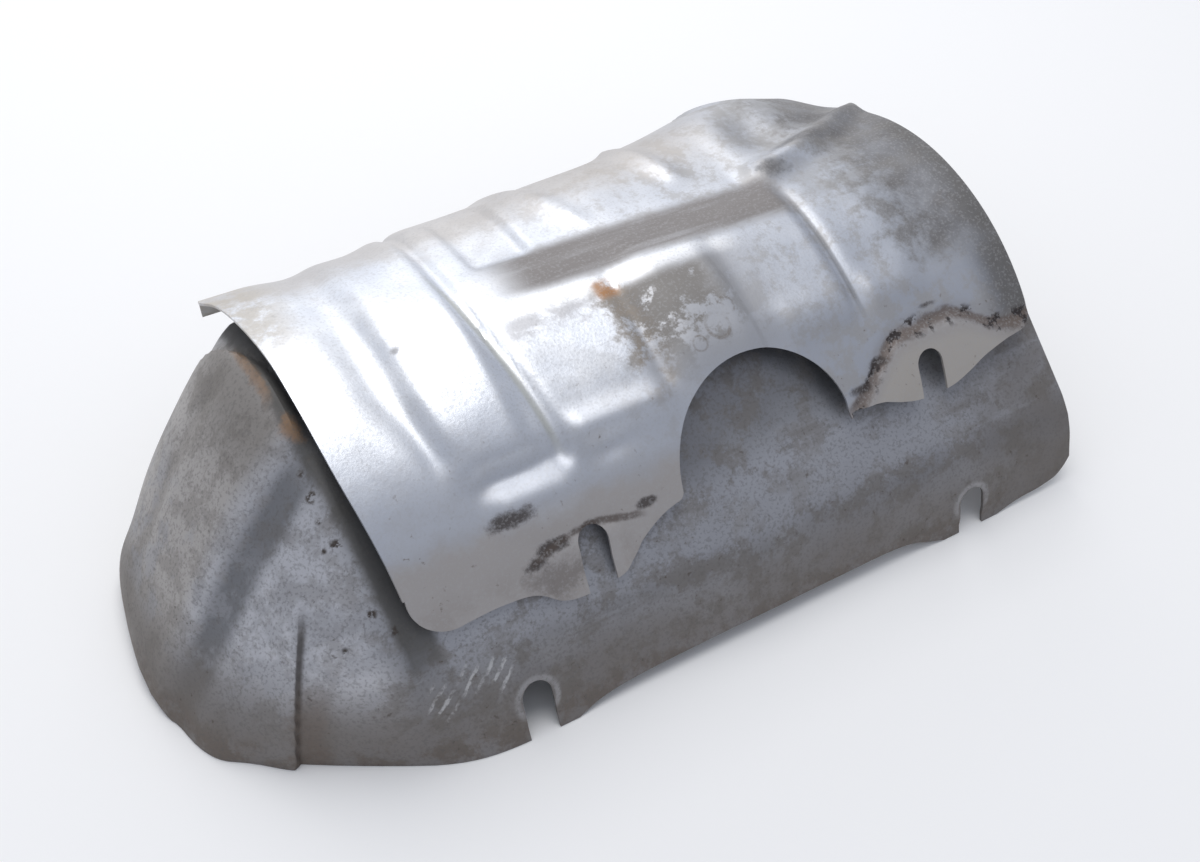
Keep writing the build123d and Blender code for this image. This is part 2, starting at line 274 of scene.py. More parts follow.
class UpperShell:
    """The upper pressing: a relief over a cylinder, trimmed to its ears and notch.

    x runs along the shells in millimetres, and t round their axis in degrees from the front edge.
    """

    # x, t, width and depth of the shallow dents; a negative depth stands proud
    DENTS = ((-60, 44, 12, 0.8), (-96, 62, 16, 0.5), (-20, 66, 18, 0.6), (60, 64, 14, 0.7),
             (88, 72, 14, 0.6), (118, 66, 14, 0.8), (146, 62, 12, 0.8), (158, 78, 14, 0.7),
             (134, 78, 12, -0.7), (36, 70, 12, -0.5), (5, 76, 16, 0.5), (-50, 84, 16, 0.5))

    def __init__(self, size: Shield) -> None:
        self.size = size

    def front_relief(self, x: Array, t: Array) -> Array:
        """Collar, groove, raised band, pads, panel and step on the visible side."""
        h = 1.0 * (1 - rise(x, -100, -86)) * rise(t, 60, 90)
        groove = -82 + 15 * (1 - rise(t, 42, 78))
        h -= 2.0 * bump(x, groove, 6.5) * rise(t, 40, 58) * (1 - 0.6 * rise(t, 100, 125))
        band = plateau(x, -78, -68, -46, -37) * rise(t, 47, 54)
        h += 2.4 * band * (1 - 0.5 * rise(t, 100, 125))
        crease = -40 + 10 * (1 - rise(t, 46, 95))
        h -= 2.0 * bump(x, crease, 3.2) * rise(t, 45, 54)
        h -= 3.2 * bump(t, 49, 3.2) * plateau(x, -70, -58, -34, -26)
        h += 3.0 * bump(t, 42, 5) * plateau(x, -68, -56, -36, -22)
        h += 2.6 * bump(t, 52.5, 3.2) * plateau(x, -30, -20, 8, 24)
        h -= 1.8 * bump(t, 46.5, 2.8) * bump(x, -14, 10)
        h += 1.6 * plateau(x, 16, 26, 52, 62) * (1 - rise(t, 81, 88)) * rise(t, 42, 60)
        h -= 1.0 * bump(x, 17, 3.4) * plateau(t, 50, 60, 78, 88)
        h += 1.6 * plateau(x, 20, 34, 99, 104) * plateau(t, 52, 62, 86, 97)
        h -= 1.0 * bump(x, 105, 3.2) * plateau(t, 50, 60, 88, 95)
        h += 1.6 * bump(t, 57, 5) * plateau(x, 66, 76, 96, 103)
        h += 1.4 * bump(t, 58, 5) * plateau(x, 108, 114, 128, 140)
        return h

    def back_relief(self, x: Array, t: Array) -> Array:
        """The fuller back, the diagonal bead along its foot and the shallow pockets."""
        foot = 96 + 24 * np.clip((x - 100) / 86, 0, None) ** 1.6
        along = np.radians(t - foot) * self.size.upper_radius * 0.93
        h = 5.0 * bump(along, 5, 6) * rise(x, 92, 108) * (1 - 0.35 * rise(x, 160, 182))
        full = 3 + 4 * rise(x, -60, -28) + 6 * rise(x, -28, 110) + 6 * bump(x, 122, 30)
        full *= 1 - 0.75 * rise(x, 158, 192)
        start = 98 + (foot - 98) * rise(x, 92, 108)
        h += full * plateau(t, start, start + 30, 134, 160)
        h -= 5 * bump(x, 119, 13) * bump(t, 116, 9)
        h -= 2.4 * plateau(x, -28, -22, -4, 2) * plateau(t, 97, 102, 120, 130)
        h += 1.6 * bump(x, 10 + (131 - t) * 0.55, 5) * plateau(t, 100, 108, 136, 150)
        h += 1.8 * bump(x, 62 + (131 - t) * 0.5, 5) * plateau(t, 104, 112, 136, 150)
        return h

    def ear_relief(self, x: Array, t: Array) -> Array:
        """The flat pads round the slots, the dents and the slight flare of the lowest edge."""
        h = 1.6 * plateau(x, -53, -49, -22, -17) * (1 - rise(t, 28, 32.5))
        crease = 33 + 14 * rise(x, 84, 118) - 7 * rise(x, 140, 170)
        h += 1.7 * (1 - rise(t, crease - 3, crease)) * plateau(x, 81, 87, 174, 180)
        h -= 0.9 * bump(t, crease + 0.6, 1.5) * plateau(x, 80, 86, 176, 182)
        h -= 0.7 * bump(t, 32.6, 1.4) * plateau(x, -58, -50, -24, -14)
        for at, angle, wide, deep in self.DENTS:
            h -= deep * np.exp(-((x - at) ** 2 + ((t - angle) * 1.65) ** 2) / wide**2)
        return h + 0.42 * np.clip(24 - t, 0, None)

    def points(self, x: Array, t: Array, depth: float) -> Array:
        """Points of the shell, depth under its outer face."""
        h = self.front_relief(x, t) + self.back_relief(x, t) + self.ear_relief(x, np.minimum(t, 180 - t))
        r, turn = self.size.upper_radius + h - depth, np.radians(t)
        return np.stack([x, -r * np.cos(turn), self.size.axis_z(x) + r * np.sin(turn)], -1)

    def outline(self) -> list[tuple[float, float]]:
        """Trim of one long edge in the edge plane, clockwise past the ears and the notch."""
        notch_x, notch_v, radius = self.size.notch
        left, right = notch_x - radius, notch_x + radius
        ear_1 = spline([(-86, -12.6), (-70, -11.8), (-58, -13.2), (-49, -18.4), (-41, -19.8),
                        (-24, -18), (-18, -14.6), (-12, -8.8), (-4, -3.6), (left - 3.6, -1.0)])
        ear_2 = spline([(right + 1.4, 5.2), (98, 5.2), (108, 2), (116, 0.2), (132, 0.4),
                        (142, 3.4), (150, 6.8), (162, 10), (174, 12.4), (178.4, 17), (184, 26)])
        return (arc((-104, 4), (-99, -8.8), ear_1[0]) + ear_1[1:]
                + arc(ear_1[-1], (left - 0.6, 0.4), (left, notch_v), 5)[1:]
                + arc((left, notch_v), (notch_x, notch_v + radius), (right, notch_v), 40)[1:]
                + ear_2 + [(200, 26), (200, -60), (-130, -60), (-130, 4)])

    def build(self) -> bpy.types.Object:
        """The trimmed shell as a closed mesh."""
        s = self.size
        x, t = np.meshgrid(np.linspace(s.upper_start_x, s.upper_end_x, 182), np.linspace(13, 167, 166),
                           indexing="ij")
        shell = MeshKit.sheet("upper_skin", self.points(x, t, 0.0), self.points(x, t, s.sheet))
        fall, out = math.atan(s.axis_fall), math.radians(s.edge_angle)
        cutters = []
        for side in (-1, 1):
            def place(a: float, u: float, w: float, side: int = side) -> tuple[float, float, float]:
                y = -w * math.cos(out) + u * math.sin(out)
                z = w * math.sin(out) + u * math.cos(out)
                return (a * math.cos(fall) + z * math.sin(fall), -side * y,
                        s.axis_height - a * math.sin(fall) + z * math.cos(fall))
            cutters.append(MeshKit.prism(f"trim_{side}", self.outline(), place, 130))
            for middle, top in s.upper_slots:
                slot = slot_outline(middle, top, s.slot_width)
                cutters.append(MeshKit.prism(f"slot_{side}", slot, place, 130))
        edge = spline([(x, y) for y, x in s.collar_edge]) + [(-160, 104), (-160, -104)]
        cutters.append(MeshKit.prism("collar", edge, lambda a, u, w: (a, u, w), 200))
        MeshKit.cut(shell, cutters)
        return shell


class LowerShell:
    """The lower pressing: round top, tangent flanks, a skirt and a domed end."""

    # x, y, z, width and depth of the shallow dents
    DENTS = ((-168, 8, 78, 9, 0.9), (-175, -6, 62, 6, 0.7), (-140, -38, 86, 13, 0.8),
             (-128, -70, 66, 9, 0.8), (-10, -100, 40, 22, 0.7), (95, -96, 44, 20, 0.8),
             (60, -104, 26, 16, 0.6), (160, -100, 34, 14, 0.8), (-92, -92, 46, 12, 0.7))

    def __init__(self, size: Shield) -> None:
        self.size = size

    @staticmethod
    def soft_min(a: Array, b: Array, blend: float) -> Array:
        """The smaller of two values, rounded where they cross."""
        return -blend * np.logaddexp(-a / blend, -b / blend)

    def nose_round(self, x: Array) -> Array:
        """Share of the width that is left near the nose."""
        return np.clip(1 - (np.clip(self.size.nose_x + 16.6 - x, 0, None) / 16.65) ** 3, 0, None) ** 0.85

    def width(self, x: Array, front: Array, inset: float) -> Array:
        """Distance of the rim from the middle, on the front or the back."""
        s = self.size
        ahead = self.soft_min(s.half_width, s.half_width - 2.5 - 0.62 * (-98 - x), 5)
        behind = self.soft_min(
            s.half_width, s.half_width - 31.5 + 0.68 * (x + 106) - 4.5 * bump(x, -167, 9)
            - 0.12 * np.clip(-135 - x, 0, None), 8)
        return (np.where(front, ahead, behind) - inset) * self.nose_round(x - inset)

    def crest_z(self, x: Array, inset: float) -> Array:
        """Height of the crest, falling over the dome."""
        s = self.size
        run = np.clip((s.dome_x - x + inset) / (s.dome_x - s.nose_x), 0, 1)
        return (s.axis_z(x) + s.barrel_radius - s.barrel_taper * x - inset) * (1 - run**1.6) ** 0.98

    def barrel_section(self, x: Array, share: Array, width: Array, inset: float) -> tuple[Array, Array]:
        """Point (y, z) at a share of the way from crest to rim: arc, flank, shoulder, skirt."""
        s = self.size
        radius, zc = s.barrel_radius - s.barrel_taper * x - inset, s.axis_z(x)
        reach = s.shoulder_y + 7 * rise(x, -50, 40) + 5 * rise(x, 30, 180)
        ys = np.minimum(reach, width - 11) - 0.7 * inset
        zs = s.shoulder_lift - 0.045 * (x + 75) - 0.7 * inset
        touch = np.arctan2(zs - zc, ys) + np.arccos(np.minimum(1.0, radius / np.hypot(ys, zs - zc)))
        yt, zt = radius * np.cos(touch), zc + radius * np.sin(touch)
        round_part = radius * (np.pi / 2 - touch)
        flank = np.hypot(ys - yt, zt - zs)
        skirt = np.hypot(width - ys, zs + s.skirt_drop)

        def at(run: Array) -> Array:
            turn = np.pi / 2 - run / radius
            k = (run - round_part) / flank
            m = (run - round_part - flank) / skirt
            on_arc, on_flank = run < round_part, run < round_part + flank
            y = np.where(on_flank, yt + (ys - yt) * k, ys + (width - ys) * m)
            z = np.where(on_flank, zt + (zs - zt) * k, zs - (s.skirt_drop + zs) * m)
            return np.stack([np.where(on_arc, radius * np.cos(turn), y),
                             np.where(on_arc, zc + radius * np.sin(turn), z)])

        total = round_part + flank + skirt
        run = share * total
        near, here, far = at(np.clip(run - 10, 0, None)), at(run), at(np.minimum(total, run + 10))
        soft = 0.5 * bump(run, round_part + flank, 10)
        return tuple(here * (1 - soft) + soft * (near + far) / 2)

    def base(self, x: Array, s: Array, inset: float) -> tuple[Array, Array]:
        """The shell without its pressings; s runs from -1 at the front rim to 1 at the back."""
        size = self.size
        front, xs = s < 0, np.maximum(x, size.dome_x)
        wide, full = self.width(x, front, inset), self.width(xs, front, inset)
        drop = size.skirt_drop
        top = self.crest_z(x, inset) + drop
        y, z = self.barrel_section(xs, np.abs(s), full, inset)
        y = y * wide / full
        z = (z + drop) * top / (self.crest_z(xs, inset) + drop)
        dome, turn = rise(-x, 104, 142), np.abs(s) * np.pi / 2
        y = y + dome * (wide * np.sin(turn) - y)
        z = z + dome * (top * np.cos(turn) - z)
        return np.where(s > 0, y, -y) + size.nose_y * (1 - self.nose_round(x - inset)), z - drop

    def relief(self, x: Array, y: Array, z: Array) -> Array:
        """The proud lobe and its valley, the ridge by the collar, the pleat, the slot seats, the dents."""
        size = self.size
        ridge = -114 - 0.004 * np.clip(y + 12, 0, None) ** 2 + 0.09 * np.clip(-30 - y, 0, None)
        inside = ridge - x
        across = y + 21.5 + 0.17 * (-110 - x)
        h = size.lobe_height * plateau(across, -13, 4, 52, 92) * rise(inside, -6, 0.5)
        h -= 1.3 * bump(across, -15, 5) * rise(inside, -4, 4)
        h += 2.4 * plateau(inside, -5, 0.5, 4, 34) * (1 - rise(across, -16, -6)) * rise(z, 30, 50)
        h -= 1.7 * bump(y - 12 - 0.2 * (x + 140), 0, 4.5) * plateau(-x, 122, 134, 176, 184)
        past = x + 150.5 - 0.10 * z - 0.0028 * z * z
        before = np.exp(-((past / np.maximum(2.5, 9.5 - 0.12 * z)) ** 2))
        lap = np.where(past < 0, before, 1 - rise(past, 0, 2))
        h += np.where(y < 0, size.pleat_height * lap * (1 - rise(z, 52, 70)), 0)
        for middle, top in size.lower_slots:
            away = np.hypot(x - middle, z - (top - size.slot_width / 2))
            seat = 1 - rise(away, size.seat_radius - 2.4, size.seat_radius + 0.6)
            h += size.seat_height * seat * (z < size.shoulder_lift + 7.5)
        for at, side, high, wide, deep in self.DENTS:
            h -= deep * np.exp(-((x - at) ** 2 + (y - side) ** 2 + (z - high) ** 2) / wide**2)
        return h * rise(z, -size.skirt_drop, -size.skirt_drop + 2)

    def points(self, x: Array, s: Array, inset: float) -> Array:
        """Points of the form, drawn in by inset all round."""
        y, z = self.base(x, s, inset)
        ya, za = self.base(x, np.maximum(-1, s - 0.001), inset)
        yb, zb = self.base(x, np.minimum(1, s + 0.001), inset)
        h = self.relief(x, y, z) / np.hypot(yb - ya, zb - za)
        return np.stack([x, y - (zb - za) * h, z + (yb - ya) * h], -1)

    def outline(self) -> list[tuple[float, float]]:
        """Trim of the rim, seen from the front."""
        lift, end = self.size.rim_lift, self.size.lower_end_x
        scallop = spline([(-52, 0), (-40, 3.6), (0, lift - 0.5), (60, lift), (100, lift - 0.5),
                          (112, 2.4), (119, 0)])
        tail = spline([(147, 0), (158, 2.2), (172, 3.2), (181, 5.5), (end + 3, 15)])
        return scallop + tail + [(end + 9, 15), (end + 9, -20), (-200, -20), (-200, 0)]

    def build(self) -> bpy.types.Object:
        """The trimmed shell as a closed mesh."""
        s = self.size
        rows = np.linspace(0, 1, 200) ** 1.25
        stops = np.linspace(-1, 1, 181)
        first, end = s.nose_x + 0.1, s.lower_end_x
        x, t = np.meshgrid(first + (end - first) * rows, stops, indexing="ij")
        outer = MeshKit.form("lower_skin", self.points(x, t, 0.0))
        first, end = first + s.sheet, end + 4
        x, t = np.meshgrid(first + (end - first) * rows, stops, indexing="ij")
        cutters = [MeshKit.form("hollow", self.points(x, t, s.sheet))]

        def place(a: float, u: float, w: float) -> tuple[float, float, float]:
            return (a, w, u)

        cutters.append(MeshKit.prism("rim", self.outline(), place, 300, -150))
        for middle, top in s.lower_slots:
            slot = slot_outline(middle, top, s.slot_width)
            cutters.append(MeshKit.prism("slot", slot, place, 300, -150))
        MeshKit.cut(outer, cutters)
        return outer


def slot_outline(middle: float, top: float, width: float) -> list[tuple[float, float]]:
    """Open slot with a round end."""
    foot = top - width / 2
    round_end = arc((middle + width / 2, foot), (middle, top), (middle - width / 2, foot), 20)
    return round_end + [(middle - width / 2, foot - 40), (middle + width / 2, foot - 40)]


class Channel(str, Enum):
    """Sockets of the metal shader that a recipe may vary."""

    COLOUR = "Base Color"
    ROUGHNESS = "Roughness"
    METALLIC = "Metallic"
    NORMAL = "Normal"


class Wire:
    """A number on a shader socket, with arithmetic that adds Math nodes."""

    def __init__(self, tree: bpy.types.NodeTree, socket: bpy.types.NodeSocket) -> None:
        self.tree, self.socket = tree, socket

    def math(self, operation: str, *others: "Wire | float", clamp: bool = False) -> "Wire":
        """Adds one Math node fed by this wire and the others."""
        node = self.tree.nodes.new("ShaderNodeMath")
        node.operation, node.use_clamp = operation, clamp
        for slot, value in zip(node.inputs, (self, *others)):
            if isinstance(value, Wire):
                self.tree.links.new(value.socket, slot)
            else:
                slot.default_value = value
        return Wire(self.tree, node.outputs[0])

    def __add__(self, other: "Wire | float") -> "Wire":
        return self.math("ADD", other)

    def __sub__(self, other: "Wire | float") -> "Wire":
        return self.math("SUBTRACT", other)

    def __mul__(self, other: "Wire | float") -> "Wire":
        return self.math("MULTIPLY", other)

    def __truediv__(self, other: "Wire | float") -> "Wire":
        return self.math("DIVIDE", other)

    def __rsub__(self, other: float) -> "Wire":
        return self.math("MULTIPLY", -1.0).math("ADD", other)

    __radd__, __rmul__ = __add__, __mul__

    def ramp(self, start: float, end: float) -> "Wire":
        """Smooth step from 0 at start to 1 at end; start may lie above end."""
        node = self.tree.nodes.new("ShaderNodeMapRange")
        node.interpolation_type = "SMOOTHSTEP"
        self.tree.links.new(self.socket, node.inputs["Value"])
        low, high = min(start, end), max(start, end)
        node.inputs["From Min"].default_value, node.inputs["From Max"].default_value = low, high
        up = Wire(self.tree, node.outputs["Result"])
        return up if start < end else 1.0 - up

    def band(self, a: float, b: float, c: float, d: float) -> "Wire":
        """1 between b and c, falling to 0 at a and d."""
        return self.ramp(a, b) * self.ramp(d, c)


class Metal:
    """A procedural metal, grown layer by layer over the part's own coordinates."""

    def __init__(self, name: str, middle_x: float) -> None:
        self.material = bpy.data.materials.new(name)
        self.material.use_nodes = True
        self.tree = self.material.node_tree
        self.shader = self.tree.nodes["Principled BSDF"]
        place = self.tree.nodes.new("ShaderNodeTexCoord").outputs["Object"]
        split = self.tree.nodes.new("ShaderNodeSeparateXYZ")
        self.tree.links.new(place, split.inputs[0])
        self.place = place
        self.x, self.y, self.z = (Wire(self.tree, out) * 1000.0 for out in split.outputs)
        self.x = self.x + middle_x
        self.colour: bpy.types.NodeSocket | None = None
        self.dirt = self.x * 0.0

    def noise(self, scale: float, detail: float = 3.0, rough: float = 0.55,
              stretch: tuple[float, float, float] = (1, 1, 1), shift: float = 0.0) -> Wire:
        """Noise from 0 to 1 over the part, scale in features a metre."""
        node = self.tree.nodes.new("ShaderNodeTexNoise")
        node.inputs["Scale"].default_value = scale
        node.inputs["Detail"].default_value = detail
        node.inputs["Roughness"].default_value = rough
        mapping = self.tree.nodes.new("ShaderNodeMapping")
        mapping.inputs["Scale"].default_value = stretch
        mapping.inputs["Location"].default_value = (shift, shift * 0.7, shift * 1.3)
        self.tree.links.new(self.place, mapping.inputs["Vector"])
        self.tree.links.new(mapping.outputs[0], node.inputs["Vector"])
        return Wire(self.tree, node.outputs["Fac"])

    def mix(self, factor: Wire | float, a: object, b: object) -> bpy.types.NodeSocket:
        """Colour a where factor is 0 and b where it is 1; each is a colour or a socket."""
        node = self.tree.nodes.new("ShaderNodeMix")
        node.data_type, node.clamp_factor = "RGBA", True
        if isinstance(factor, Wire):
            self.tree.links.new(factor.socket, node.inputs["Factor"])
        else:
            node.inputs["Factor"].default_value = factor
        for socket, value in ((node.inputs[6], a), (node.inputs[7], b)):
            if isinstance(value, bpy.types.NodeSocket):
                self.tree.links.new(value, socket)
            else:
                socket.default_value = (*value, 1.0)
        return node.outputs[2]

    def patch(self, along: Wire, up: Wire, centre: tuple[float, float], reach: tuple[float, float],
              ragged: Wire) -> Wire:
        """Spot round centre that ends at reach, its border broken by a noise."""
        a, b = (along - centre[0]) / reach[0], (up - centre[1]) / reach[1]
        return ((a * a + b * b).math("SQRT") + (ragged - 0.5) * 2.8).ramp(1.15, 0.35)

    def ball(self, centre: tuple[float, float, float], reach: float, ragged: Wire) -> Wire:
        """Round spot in space, its border broken by a noise."""
        a, b, c = self.x - centre[0], self.y - centre[1], self.z - centre[2]
        return ((a * a + b * b + c * c).math("SQRT") / reach + (ragged - 0.5) * 2.8).ramp(1.15, 0.35)

    def paint(self, colour: bpy.types.NodeSocket) -> None:
        """Sets the bare metal's colour."""
        self.colour = colour

    def coat(self, mask: Wire, colour: tuple[float, float, float], dull: float) -> None:
        """Lays a stain over what is there.

        Args:
            mask: 1 where it covers.
            colour: its linear colour.
            dull: 0 leaves the metal's shine, 1 makes it matt.
        """
        self.colour = self.mix(mask, self.colour, colour)
        if dull:
            self.dirt = self.dirt.math("MAXIMUM", mask * dull)

    def done(self, roughness: Wire, metallic: float) -> None:
        """Feeds the shader from the layers laid so far."""
        self.feed(Channel.COLOUR, self.colour)
        self.feed(Channel.ROUGHNESS, roughness + self.dirt * 0.30)
        self.feed(Channel.METALLIC, self.dirt.math("MULTIPLY", -0.6) + metallic)

    def feed(self, channel: Channel, value: "Wire | bpy.types.NodeSocket | float") -> None:
        """Puts a wire, colour or number on one of the shader's sockets."""
        socket = self.shader.inputs[channel.value]
        if isinstance(value, (int, float)):
            socket.default_value = value
        else:
            self.tree.links.new(value.socket if isinstance(value, Wire) else value, socket)

    def relief(self, height: Wire, distance_mm: float, strength: float = 1.0) -> None:
        """Bump from a height between 0 and 1."""
        node = self.tree.nodes.new("ShaderNodeBump")
        node.inputs["Strength"].default_value = strength
        node.inputs["Distance"].default_value = distance_mm * MM
        self.tree.links.new(height.socket, node.inputs["Height"])
        self.tree.links.new(node.outputs[0], self.shader.inputs[Channel.NORMAL.value])


class UpperMetal(Metal):
    """Aluminised steel of the upper shell: bright on the left, stained on top, dirty at foot and right, with
    painted shade low down.

    x runs along the shells in millimetres, and t round their axis in degrees from the front edge.
    """

    NAME = "upper_aluminised"
    BARE = (0.66, 0.69, 0.75)
    BRIGHT = (0.80, 0.82, 0.86)
    SOOT = (0.06, 0.05, 0.048)
    # x, t, half length, half height and strength
    BEAD_SHADOWS = ((108, 98, 9, 3, 0.8), (133, 106, 16, 3.5, 0.75), (156, 117, 14, 4, 0.7))
    # x, t, half length and half height
    EAR_MARKS = ((-54, 28.8, 4, 2.0), (-50, 31, 4.5, 1.6), (-44.5, 31.6, 5, 1.5), (-31, 32, 4, 1.4),
                 (-29.6, 28.2, 3, 1.6), (-57.5, 40.3, 9, 2.0), (-6.5, 32.5, 5, 1.3), (82.5, 34.0, 3.5, 1.8),
                 (93, 37.6, 6, 1.3), (104, 42, 4, 1.2), (134, 50.4, 5, 1.0))
    # x, t and radius
    DRIP_RINGS = ((44, 62.5, 5.2), (51, 66, 3.6), (34, 60, 3.0))

    def __init__(self, size: Shield) -> None:
        super().__init__(self.NAME, size.middle_x)
        height = self.z - size.axis_height + self.x * size.axis_fall
        self.t = height.math("ARCTAN2", self.y * -1.0) * math.degrees(1)
        self.fine, self.cloud = self.noise(900, 2), self.noise(22, 5, 0.6)
        self.blotch, self.ragged = self.noise(60, 5, 0.65, shift=3.1), self.noise(75, 5, 0.75, shift=8.3)
        self.streak = self.noise(55, 5, 0.6, stretch=(0.10, 1.6, 1.6), shift=6.1)
        self.specks = self.noise(430, 3, 0.5, shift=2.3).ramp(0.64, 0.72)
        self.pits = self.noise(190, 4, 0.6, shift=1.1)

    def bare(self) -> None:
        """The plain metal, with painted shade low down, darker to the right and behind the crown."""
        x, t = self.x, self.t
        self.paint(self.mix(self.cloud.ramp(0.35, 0.7), self.BARE, self.BRIGHT))
        # Painted shade: darker low down, where the shell faces away from the light, and darker toward the
        # right.
        low_shade_and_right_darkening = t.ramp(66, 46) * 0.75 + x.ramp(-10, 120) * 0.55
        self.coat(low_shade_and_right_darkening * (self.cloud * 0.5 + 0.75), (0.40, 0.42, 0.47), 0.4)
        self.coat(t.ramp(96, 114) * x.ramp(-60, 60) * 0.35, (0.50, 0.49, 0.49), 0.4)
        self.coat(self.ragged.ramp(0.46, 0.60) * (x.ramp(-50, 90) * 0.45 + 0.12), (0.37, 0.355, 0.34), 0.6)
        behind = (t + self.ragged * 16.0 - 8.0).ramp(106, 120)
        self.coat(behind * x.ramp(120, 70) * 0.6, (0.48, 0.44, 0.40), 0.7)

    def creases(self) -> None:
        """Painted shade lines in the panel's creases, the beige collar corner and the greenish crease."""
        x, t = self.x, self.t
        # Painted shade along the step and along the panel's right edge.
        step = (x - 105.5).band(-1.8, -0.4, 0.4, 1.8)
        self.coat(step * t.band(50, 60, 86, 92) * 0.6, (0.17, 0.17, 0.175), 0.5)
        panel = (x - 55.0 + (t - 80.0) * 0.2).band(-1.6, -0.4, 0.4, 1.6)
        self.coat(panel * t.band(52, 60, 78, 82) * 0.35, (0.2, 0.2, 0.2), 0.5)
        corner = x.ramp(-88, -106) * t.ramp(88, 100) * self.ragged.ramp(0.36, 0.56)
        self.coat(corner * 0.7, (0.50, 0.46, 0.40), 0.8)
        across = x + 43.0 - (99.0 - t) * 0.24
        self.coat(across.band(-2.4, -0.4, 0.4, 2.6) * t.band(47, 56, 92, 104) * 0.55, (0.50, 0.50, 0.42), 0.4)

    def crown_stain(self) -> None:
        """The long brushed stain under the crown, its broken neighbour and the near-white streak between."""
        x, streak = self.x, self.streak
        low = self.t + x * 0.02
        along = x.ramp(-34, -6) * x.ramp(112, 98)
        self.coat(low.band(83.5, 88, 97, 102) * along * (streak.ramp(0.36, 0.60) * 0.45 + 0.55),
                  (0.235, 0.22, 0.215), 0.85)
        broken = (streak * self.ragged).ramp(0.20, 0.34)
        self.coat(low.band(70, 76, 82, 85) * x.band(-36, -26, 6, 16) * broken * 0.6, (0.42, 0.41, 0.42), 0.6)
        self.coat(low.band(79, 81.4, 83.4, 85.5) * x.band(-34, -24, 62, 76) * 0.8, (0.86, 0.87, 0.89), 0.0)

    def panel_dirt(self) -> None:
        """Ragged dirt on the raised panel, with the rust spot at its corner."""
        x, t, ragged = self.x, self.t, self.ragged
        self.coat(x.band(6, 16, 58, 84) * t.band(48, 58, 78, 82) * (self.cloud * 0.5 + 0.4),
                  (0.36, 0.36, 0.375), 0.55)
        patches = (x + ragged * 40.0 - 20.0).band(6, 15, 46, 66) * t.band(54, 66, 77, 80.5)
        patches = patches * (ragged + t.ramp(60, 78) * 0.12).ramp(0.47, 0.58)
        self.coat(patches * 0.9, (0.23, 0.215, 0.20), 1.0)
        smear = x.band(3, 12, 17, 26) * t.band(48, 58, 80, 84) * ragged.ramp(0.40, 0.62)
        self.coat(smear * 0.75, (0.30, 0.26, 0.22), 1.0)
        rust = x.band(7, 11, 15, 20) * t.band(77, 79.5, 82, 84) * ragged.ramp(0.35, 0.55)
        self.coat(rust * 0.8, (0.42, 0.20, 0.07), 1.0)

    def right_end_dirt_and_bead_shadows(self) -> None:
        """Mottled dirt toward the open end and painted shadows along the bead."""
        x, t, blotch = self.x, self.t, self.blotch
        mottled = (x + self.ragged * 60.0).ramp(152, 186) * (blotch * 0.9 + 0.35)
        self.coat(mottled * t.ramp(54, 66), (0.125, 0.12, 0.12), 0.9)
        self.coat(x.ramp(156, 172) * t.ramp(64, 56) * (blotch * 0.6 + 0.5), (0.12, 0.115, 0.11), 0.9)
        self.coat(x.ramp(96, 128) * t.ramp(76, 92) * (self.streak + blotch).ramp(0.85, 1.15) * 0.5,
                  (0.30, 0.29, 0.28), 0.9)
        self.coat(x.ramp(164, 177) * t.ramp(112, 100) * 0.7, (0.14, 0.135, 0.13), 1.0)
        # Painted shadows along the bead.
        for at, angle, wide, high, strength in self.BEAD_SHADOWS:
            spot = self.patch(x, t, (at, angle), (wide, high), self.ragged)
            self.coat(spot * strength, (0.15, 0.145, 0.145), 0.8)

    def foot(self) -> None:
        """Beige dirt on the foot and the ears, dark in the creases round their pads."""
        x, t, blotch, ragged = self.x, self.t, self.blotch, self.ragged
        above = t - (39.5 - x.ramp(20, 60) * 6.5 + x.ramp(84, 118) * 14.0 - x.ramp(140, 170) * 7.0)
        self.coat((above + ragged * 12.0 - 6.0).ramp(4, -4) * 0.85, (0.37, 0.345, 0.33), 0.9)
        self.coat(above.ramp(-6, -16) * blotch.ramp(0.42, 0.62) * 0.45, (0.30, 0.275, 0.26), 1.0)
        self.coat(above.ramp(-2, -7) * x.ramp(80, 90) * 0.6, (0.46, 0.43, 0.39), 1.0)
        crease = (above + blotch * 6.0 - 3.0).band(-3.5, -1.2, 0.2, 1.8) * x.ramp(80, 92)
        self.coat(crease * 0.85, (0.13, 0.10, 0.085), 1.0)
        self.coat(above.band(-4, -1.5, 1, 3) * x.ramp(78, 90) * self.pits.ramp(0.53, 0.60),
                  (0.035, 0.028, 0.028), 1.0)

